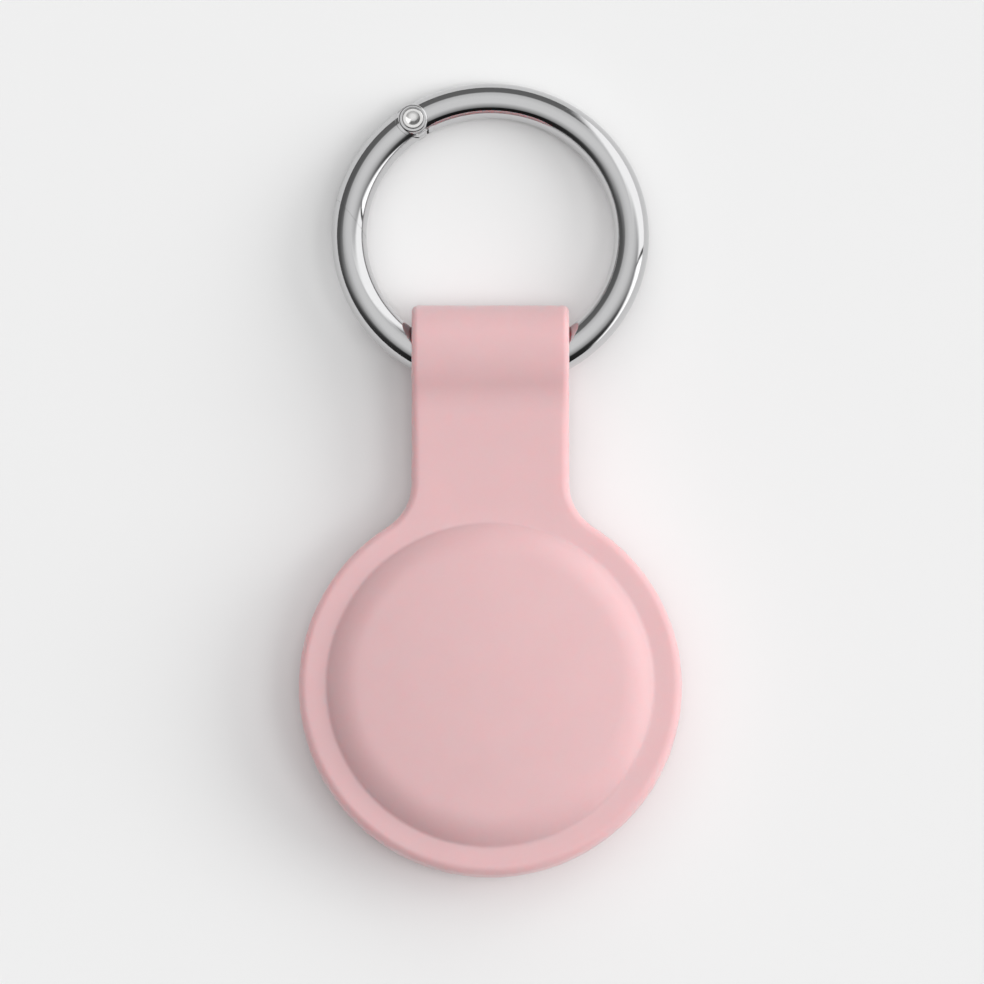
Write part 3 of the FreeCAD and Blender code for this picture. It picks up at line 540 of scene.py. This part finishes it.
def outlinePath(s, rim, top):
    # right half of the outline from the bottom up: points with their outward direction
    neckX = s["halfStrap"] + s["neckRound"]
    neckY = math.sqrt((rim + s["neckRound"]) ** 2 - neckX ** 2)
    bottom, meet = -math.pi / 2, math.atan2(neckY, neckX)
    path = []
    for i in range(s["rimSteps"] + 1):
        x, y = onCircle(1.0, bottom + (meet - bottom) * i / s["rimSteps"])
        path.append((rim * x, rim * y, x, y))
    for i in range(1, s["neckSteps"] + 1):
        x, y = onCircle(1.0, math.pi + meet * (1 - i / s["neckSteps"]))
        path.append((neckX + s["neckRound"] * x, neckY + s["neckRound"] * y, -x, -y))
    for i in range(1, s["strapSteps"] + 1):
        path.append((s["halfStrap"], neckY + (top - neckY) * i / s["strapSteps"], 1.0, 0.0))
    return path


def roundedEdge(s, radius):
    # rounding from a flat to the side: how far in from the side, and how far below the flat
    points = [(radius + s["edgeFlat"], 0.0)]
    for i in range(s["edgeSteps"] + 1):
        x, y = onCircle(radius, math.pi / 2 * i / s["edgeSteps"])
        points.append((radius - y, radius - x))
    return points + [(0.0, radius + s["edgeSide"])]


def bulge(s, rise):
    # the loop's blend and crown together: how steep they get on the way up, and how far along they run
    both = s["loopCrown"] + s["loopBlend"]
    return math.degrees(math.acos(1 - rise / both)), math.sqrt(2 * both * rise - rise * rise)


def loopPath(s, reach, start):
    # the loop's side profile from the front flat over the nose to the back flat, with outward directions
    blend, crown, nose = s["loopBlend"], s["loopCrown"], s["loopRound"]
    frontLean, frontRun = bulge(s, s["loopTop"] - s["faceFront"])
    backLean = bulge(s, s["faceBack"] - s["loopLift"])[0]
    middle = reach - nose
    first = middle - frontRun
    bends = [    # middle, radius, angles, steps, and 1 where the outside is away from the middle
        (first, s["faceFront"] + blend, blend, -90, -90 + frontLean, 12, -1),
        (middle, s["loopTop"] - crown, crown, 90 + frontLean, 90, 14, 1),
        (middle, s["loopTop"] - nose, nose, 90, -90, 44, 1),
        (middle, s["loopLift"] + crown, crown, -90, -90 - backLean, 16, 1),
        (start, s["faceBack"] - blend, blend, 90 - backLean, 90, 14, -1),
    ]
    flat = s["loopFlatSteps"]
    path = [(start + (first - start) * i / flat, s["faceFront"], 0.0, 1.0) for i in range(flat + 1)]
    for x, z, radius, begin, stop, steps, sign in bends:
        for px, pz in arc(x, z, radius, begin, stop, steps)[1:]:
            path.append((px, pz, sign * (px - x) / radius, sign * (pz - z) / radius))
    return path


def makeSleeve(s):
    low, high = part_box("silicone_sleeve")
    rim = (high.x - low.x) / 2 / mm
    discY = low.y / mm + rim
    reach = high.y / mm - discY
    start = reach - s["loopRound"] - bulge(s, s["faceBack"] - s["loopLift"])[1]
    side = s["halfStrap"]
    mesh = bmesh.new()

    # rim and strap
    half, seam = (s["faceFront"] + s["faceBack"]) / 2, s["seamHalf"]
    edge = roundedEdge(s, s["edgeRound"])
    rib = [(inset, s["faceFront"] - drop) for inset, drop in edge]
    rib += [(0.0, half + seam), (-s["seamRidge"], half), (0.0, half - seam)]
    rib += [(inset, s["faceBack"] + drop) for inset, drop in reversed(edge)]
    for sign in (1, -1):
        rows = []
        for x, y, nx, ny in outlinePath(s, rim, start):
            fade = 1 - ease(y, start - s["seamFadeFrom"], start - s["seamFadeTo"])
            row = []
            for inset, z in rib:
                inset = max(inset, inset * fade)
                row.append(mesh.verts.new((sign * (x - nx * inset), y - ny * inset, z)))
            rows.append(row)
        joinRows(mesh, rows)

    # dome, back and pocket
    spin(mesh, domeProfile(s), s["turnSteps"])
    spin(mesh, backProfile(s), s["turnSteps"])

    # loop
    rows = []
    for y, z, ny, nz in loopPath(s, reach, start):
        share = ease(y, start + s["loopEdgeFrom"], start + s["loopEdgeTo"])
        edge = roundedEdge(s, s["edgeRound"] + (s["loopEdge"] - s["edgeRound"]) * share)
        right = [(side - inset, y - ny * drop, z - nz * drop) for inset, drop in edge]
        left = [(-px, py, pz) for px, py, pz in reversed(right)]
        rows.append([mesh.verts.new(point) for point in left + right])
    joinRows(mesh, rows)

    # tunnel along X, with softened mouths
    m, bore = s["mouthRound"], s["tunnel"]
    line = [(bore + m + s["mouthFlat"], side)] + arc(bore + m, side - m, m, 90, 180, steps=5)
    line += [(bore, side - m - s["innerLedge"])]
    line += [(radius, -x) for radius, x in reversed(line)]
    middle, height = reach - s["noseWall"] - bore, s["loopLift"] + s["loopRound"]
    alongX = Matrix(((0, 0, 1, 0), (1, 0, 0, middle), (0, 1, 0, height), (0, 0, 0, 1)))
    spin(mesh, line, s["tunnelSteps"], alongX)

    # flats: rim front and back, loop sides
    bmesh.ops.remove_doubles(mesh, verts=mesh.verts, dist=s["weld"])
    for axis, level in ((2, s["faceFront"]), (2, s["faceBack"]), (0, side), (0, -side)):
        border = []
        for one in mesh.edges:
            if one.is_boundary and all(abs(v.co[axis] - level) < s["weld"] / 2 for v in one.verts):
                border.append(one)
        bmesh.ops.triangle_fill(mesh, use_beauty=True, edges=border)
    skin = addPiece("sleeveSkin", mesh, "silicone", Matrix.Scale(mm, 4) @ Matrix.Translation((0, discY, 0)))
    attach(skin, "holder")
    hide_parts("silicone_sleeve")


makeSleeve(sleeve)

# ring as the CAD has it, sizes in mm, for the pieces that go with it
ring = {
    "radius": 14.985, "wire": 1.86,
    "pivotAt": 123.3,                                   # the hinge's place in degrees round the ring from +X
    "crispFrom": 40,                                    # degrees that an edge is bent by
}


def ringPlace(r):
    low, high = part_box("ring_body")
    tilt = math.asin(((high.z - low.z) / 2 / mm - r["wire"]) / r["radius"])
    return Matrix.Translation((low + high) / 2) @ Matrix.Rotation(-tilt, 4, "X") @ Matrix.Scale(mm, 4)


def hingePlace(r):
    # in the ring's plane: X along the wire into the ring, Y outwards, Z along the rivet
    angle = math.radians(r["pivotAt"])
    pivot = Matrix.Translation((*onCircle(r["radius"], angle), 0))
    return pivot @ Matrix.Rotation(angle - math.pi / 2, 4, "Z")


# gate, angles of its wall and neck in degrees round the rivet from the ring's side on
gate = {
    "noseAt": 172.3, "slant": 45.0,
    "seamShift": 0.025, "knuckle": 1.885,               # how close it comes to the ring at its two ends
    "barrel": 1.8, "hole": 0.65,                        # radii
    "low": -0.87, "floor": 0.15, "top": 0.87,           # heights from the ring's plane
    "edge": 0.05, "edgeBend": 0.015,                    # rounding, and how far its middle stays in
    "wall": 0.3, "wallFrom": 60, "wallTo": 312,         # stands round the spring
    "neckReach": 2.1, "neckFrom": 140, "neckTo": 220,   # joins barrel and arm
    "post": (0.6, -1.36), "postRadius": 0.28,
    "wallSunk": 0.02, "neckSunk": 0.1,                  # how deep wall, post and neck start in the others
    "search": 0.4, "halvings": 40,                      # radians round the ring, to find the arm's ends
    "roundSteps": 72, "lengthSteps": 44, "neckSteps": 16, "postSteps": 30,
}


def makeGate(g, r):
    hinge = hingePlace(r)
    pivot = hinge.translation
    pivotAt, noseAt = math.radians(r["pivotAt"]), math.radians(g["noseAt"])
    nose = Vector((*onCircle(r["radius"], noseAt), 0))
    facing = Vector((*onCircle(1.0, noseAt + math.radians(90 - g["slant"])), 0))
    mesh = bmesh.new()

    def onWire(turn, around):
        out, up = onCircle(r["wire"], around)
        return Vector((*onCircle(r["radius"] + out, turn), up))

    def pastKnuckle(point):
        return (point - pivot).to_2d().length - g["knuckle"]

    def pastSeam(point):
        return (point - nose).dot(facing) - g["seamShift"]

    def meet(measure, around, start, stop):
        for _ in range(g["halvings"]):
            middle = (start + stop) / 2
            if measure(onWire(middle, around)) < 0:
                start = middle
            else:
                stop = middle
        return start

    # arm: every line along the wire runs from the knuckle to the slanted nose
    count, length, search = g["roundSteps"], g["lengthSteps"], g["search"]
    lines = []
    for i in range(count):
        around = 2 * math.pi * i / count
        first = meet(pastKnuckle, around, pivotAt, pivotAt + search)
        last = meet(pastSeam, around, noseAt - search, noseAt + search)
        lines.append((around, first, last))
    rows = []
    for j in range(length + 1):
        rows.append([mesh.verts.new(onWire(first + (last - first) * j / length, around))
                     for around, first, last in lines])
    joinRows(mesh, rows, closed=True)
    mesh.faces.new(rows[-1])
    half = count // 2
    upper = rows[0][:half + 1]
    lower = [rows[0][-i % count] for i in range(half + 1)]
    joinRows(mesh, [upper, lower])

    # barrel in the ring's fork: a plate on the rivet, a wall round the spring, a neck to the arm
    e, bend, barrel, hole = g["edge"], g["edgeBend"], g["barrel"], g["hole"]
    low, floor, top = g["low"], g["floor"], g["top"]
    inside, sunk = barrel - g["wall"], floor - g["wallSunk"]
    plate = [(hole, low), (barrel - e, low), (barrel - bend, low + bend), (barrel, low + e),
             (barrel, floor), (hole, floor)]
    wall = [(inside, sunk), (barrel, sunk), (barrel, top - e), (barrel - bend, top - bend),
            (barrel - e, top), (inside, top)]
    root, reach = inside + g["neckSunk"], g["neckReach"]
    neck = [(root, low + e), (reach, low + e), (reach, top - e), (root, top - e)]
    spin(mesh, plate, count, hinge, closed=True)
    spin(mesh, wall, count, hinge, g["wallFrom"], g["wallTo"], closed=True)
    spin(mesh, neck, g["neckSteps"], hinge, g["neckFrom"], g["neckTo"], closed=True)

    # post, which pushes the spring
    thick, sides = g["postRadius"], g["postSteps"]
    rows = []
    for radius, z in ((thick, sunk), (thick, top - e), (thick - e, top)):
        row = []
        for i in range(sides):
            x, y = onCircle(radius, 2 * math.pi * i / sides)
            row.append(mesh.verts.new(hinge @ Vector((g["post"][0] + x, g["post"][1] + y, z))))
        rows.append(row)
    addTube(mesh, rows)

    skin = addPiece("gateSkin", mesh, "chrome", ringPlace(r), r["crispFrom"])
    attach(skin, "gate")
    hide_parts("gate_arm")


makeGate(gate, ring)

# hairpin spring: one leg held in the ring, the other pushed by the gate's post
hairpin = {
    "turn": 0.85, "wire": 0.4, "level": 0.55, "heldLeg": 2.98, "freeLeg": 1.45,
    "bend": 0.6,                                        # on the real spring, half the stretch that bends with the gate; here both legs are drawn straight
    "heldSteps": 12, "turnStep": 6, "freeSteps": 8, "wireSteps": 16,
}


def makeHairpin(h, r):
    hinge = hingePlace(r)
    held, free, sides = h["heldSteps"], h["freeSteps"], h["wireSteps"]
    path = [(h["heldLeg"] * (1 - i / held), h["turn"], 90) for i in range(held)]
    path += [(*onCircle(h["turn"], math.radians(a)), a) for a in range(90, 271, h["turnStep"])]
    path += [(h["freeLeg"] * i / free, -h["turn"], 270) for i in range(1, free + 1)]
    mesh = bmesh.new()
    rows = []
    for along, out, facing in path:
        row = []
        for i in range(sides):
            side, up = onCircle(h["wire"] / 2, 2 * math.pi * i / sides)
            x, y = onCircle(side, math.radians(facing))
            row.append(mesh.verts.new(hinge @ Vector((along + x, out + y, h["level"] + up))))
        rows.append(row)
    addTube(mesh, rows)
    spring = addPiece("springHairpin", mesh, "spring_steel", ringPlace(r), r["crispFrom"])
    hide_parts("gate_spring")
    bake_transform(spring)


makeHairpin(hairpin, ring)

# root of the ring's fork, filled behind the gate's barrel as far as the swing allows
forkRoot = {
    "from": 1.84, "to": 2.42, "height": 0.96,           # distances from the rivet, half the thickness
    "inner": 0.9, "outer": 0.1,                         # least room to the rivet along the wire
    "sideSteps": 24, "heightSteps": 16, "shares": (0.25, 0.5, 0.75),
}


def makeForkRoot(f, r):
    mesh = bmesh.new()

    def atDistance(reach, distance):
        part = (reach ** 2 + r["radius"] ** 2 - distance ** 2) / (2 * reach * r["radius"])
        return math.acos(min(1.0, part))

    def corner(side, share, z):
        # side runs from the wire's inner surface at -1 to its outer one at 1,
        # share from the barrel into the ring
        reach = r["radius"] + side * math.sqrt(r["wire"] ** 2 - z ** 2)
        clear = f["inner"] + (f["outer"] - f["inner"]) * (side + 1) / 2
        near = max(atDistance(reach, f["from"]), math.asin(clear / reach))
        turn = math.radians(r["pivotAt"]) - near - (atDistance(reach, f["to"]) - near) * share
        return mesh.verts.new((*onCircle(reach, turn), z))

    sides = [2 * j / f["sideSteps"] - 1 for j in range(f["sideSteps"] + 1)]
    rows = []
    for i in range(f["heightSteps"] + 1):
        z = f["height"] * (2 * i / f["heightSteps"] - 1)
        row = [corner(side, 0, z) for side in sides]
        row += [corner(1, share, z) for share in f["shares"]]
        row += [corner(side, 1, z) for side in reversed(sides)]
        row += [corner(-1, share, z) for share in reversed(f["shares"])]
        rows.append(row)
    addTube(mesh, rows)
    root = addPiece("forkRoot", mesh, "chrome", ringPlace(r), r["crispFrom"])
    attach(root, "ring")


makeForkRoot(forkRoot, ring)

# the frame's own pieces take their finishes
wears = {
    "ring_body": "chrome", "hinge_rivet": "rivet_steel",
    "tag_front_shell": "white_plastic", "tag_rear_frame": "white_plastic",
    "tag_rear_cover": "cover_steel", "cover_seal": "seal_rubber",
    "cell_can": "cell_steel", "cell_gasket": "gasket_plastic", "cell_cap": "cell_steel",
    "positive_contacts": "contact_metal", "negative_contact": "contact_metal",
    "circuit_board": "board", "board_chips": "chip_plastic", "radio_shield": "shield_steel",
    "antenna_ring": "antenna_copper", "sounder_magnet": "magnet", "sounder_coil": "coil_copper",
}
for name, look in wears.items():
    cadNodes[name].material_slots[0].material = finish[look]
print("finishes given to", len(wears), "nodes")
